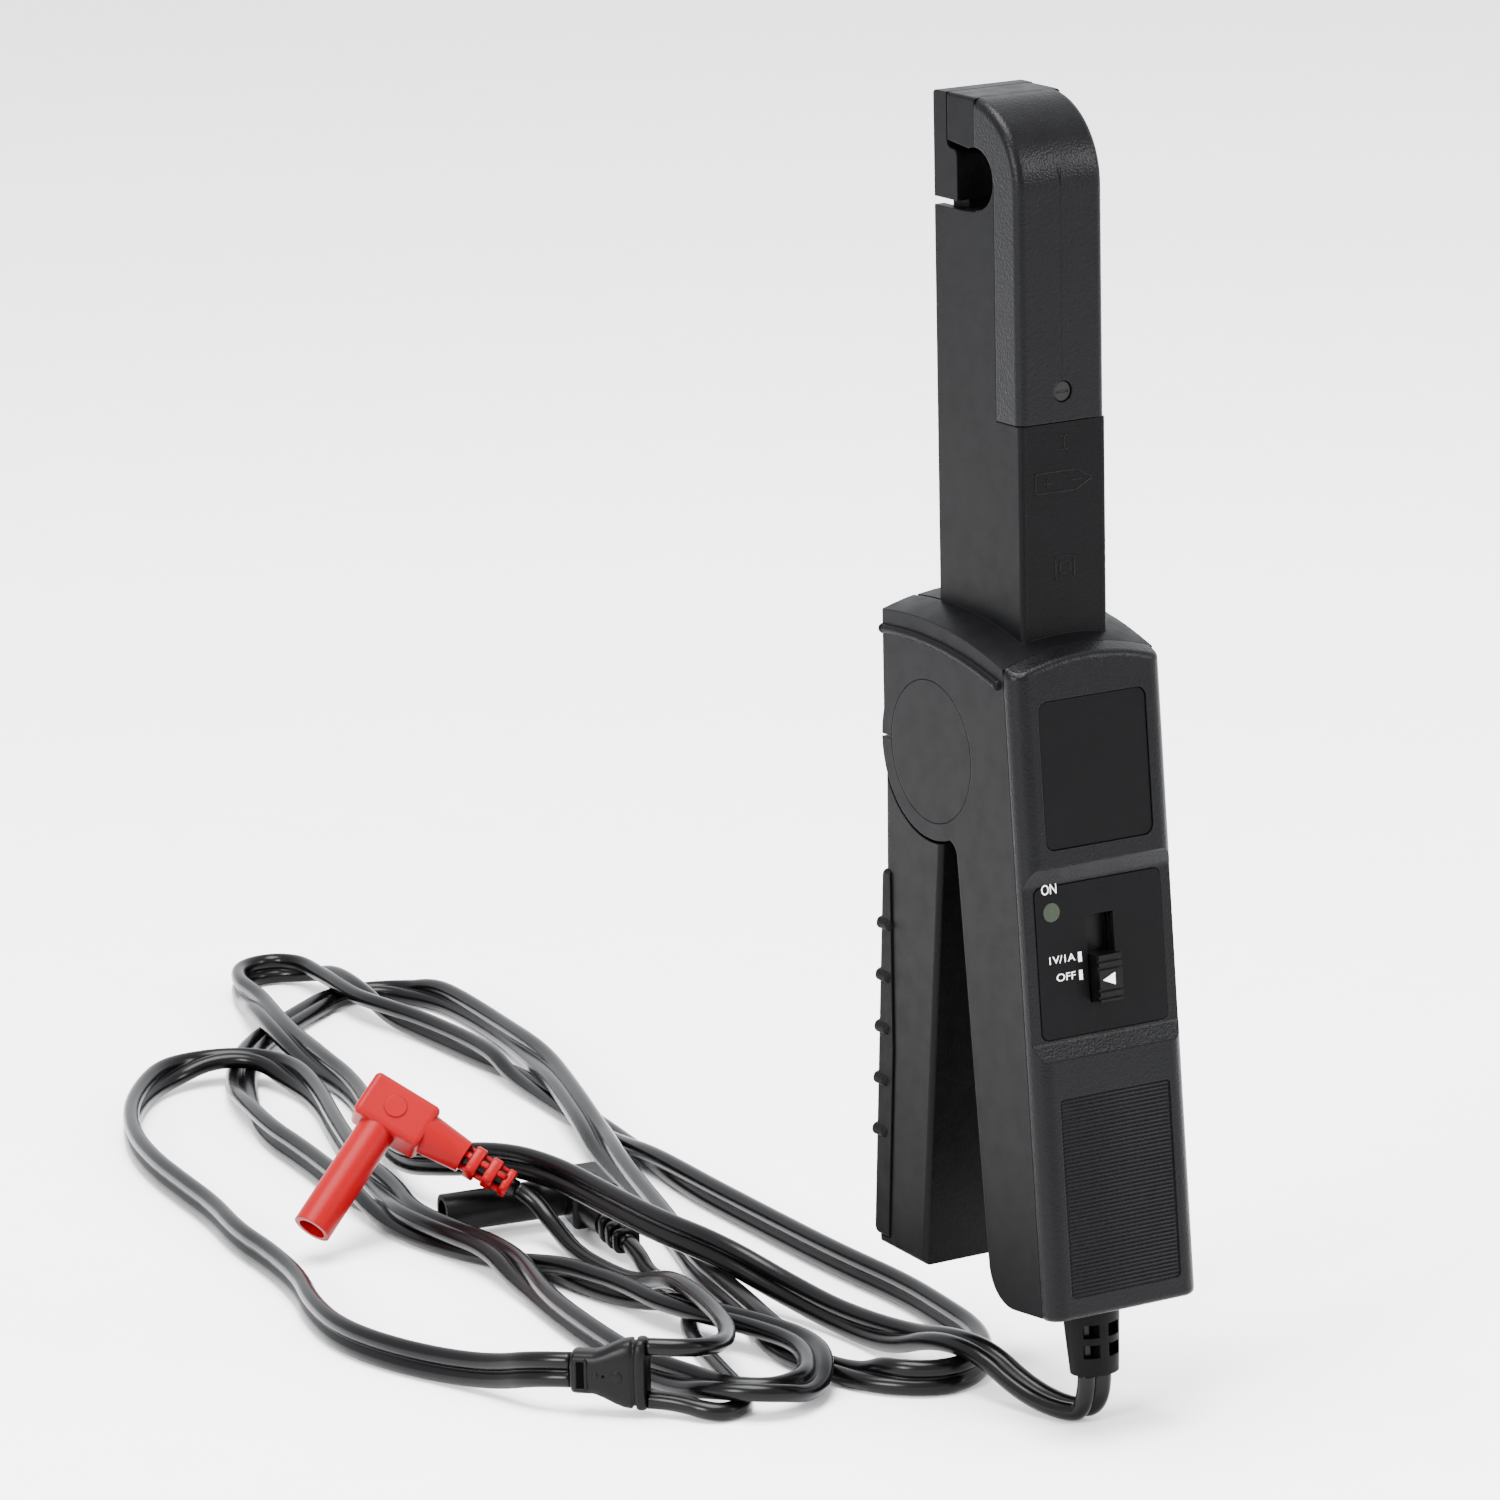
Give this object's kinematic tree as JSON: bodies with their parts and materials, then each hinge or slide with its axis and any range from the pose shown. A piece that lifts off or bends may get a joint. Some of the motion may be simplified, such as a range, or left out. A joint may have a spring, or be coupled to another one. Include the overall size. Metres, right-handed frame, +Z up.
{
  "type": "current clamp probe",
  "caption": "Hand-held current clamp with hooked jaw, squeeze lever, slide switch and a twin lead that splits to right-angle red and black plugs, for feeding a meter.",
  "frame": {"origin": "centre of the round wire opening in the jaw", "axes": "+X along the wire that is measured, to the right of the front face; -Y out of the front face with the switch; +Z up the jaw"},
  "size_m": [0.1458, 0.3897, 0.2563],
  "materials": {
    "housing_plastic": "fine matt moulding",
    "textured_plastic": "spark-eroded grain",
    "panel_plastic": "very fine grain",
    "pad_rubber": "matt rubber",
    "core_steel": "laminated",
    "pin_steel": "turned",
    "screw_black": "blackened",
    "board_green": "solder mask",
    "cable_grey": "ribbon",
    "lamp_lens": "smoked green",
    "switch_plastic": "satin",
    "battery_case": "printed can",
    "lead_jacket": "semi-gloss flexible jacket",
    "splitter_plastic": "satin",
    "plug_red": "satin red",
    "plug_black": "satin black",
    "contact_nickel": "nickel"
  },
  "bodies": {
    "clamp_body": {"battery": "battery_case", "battery_snap": "switch_plastic", "black_contact": "contact_nickel", "black_lead": "lead_jacket", "black_plug": "plug_black", "black_relief": "plug_black", "circuit_board": "board_green", "front_cover": "textured_plastic", "hall_sensor": "board_green", "hinge_pin": "pin_steel", "hook_core": "core_steel", "hook_tip": "housing_plastic", "housing_screws": "pin_steel", "label_plate": "panel_plastic", "lead_boot": "pad_rubber", "led_window": "lamp_lens", "lower_core": "core_steel", "main_housing": "housing_plastic", "nose_cover": "textured_plastic", "nose_screw": "screw_black", "pivot_cap_left": "housing_plastic", "pivot_cap_right": "housing_plastic", "power_led": "lamp_lens", "red_contact": "contact_nickel", "red_lead": "lead_jacket", "red_plug": "plug_red", "red_relief": "plug_red", "return_spring": "pin_steel", "sensor_cable": "cable_grey", "splitter": "splitter_plastic", "switch_body": "switch_plastic", "switch_panel": "panel_plastic", "twin_lead": "lead_jacket"},
    "jaw_lever": {"jaw_arm": "housing_plastic", "jaw_tip": "housing_plastic", "moving_core": "core_steel", "lever_shell": "housing_plastic", "grip_pad": "pad_rubber"},
    "switch_slider": {"slide_knob": "switch_plastic"}
  },
  "joints": [
    {"name": "jaw_hinge", "type": "hinge", "parent": "clamp_body", "child": "jaw_lever", "pos_m": [0, 0.007, -0.1107], "axis": [-1, 0, 0], "range_deg": [0, 8], "stiffness_Nm_per_rad": 2, "springref_deg": -5.73},
    {"name": "switch_slide", "type": "slide", "parent": "clamp_body", "child": "switch_slider", "axis": [0, 0.088, 0.9961], "range_m": [0, 0.0033]}
  ]
}
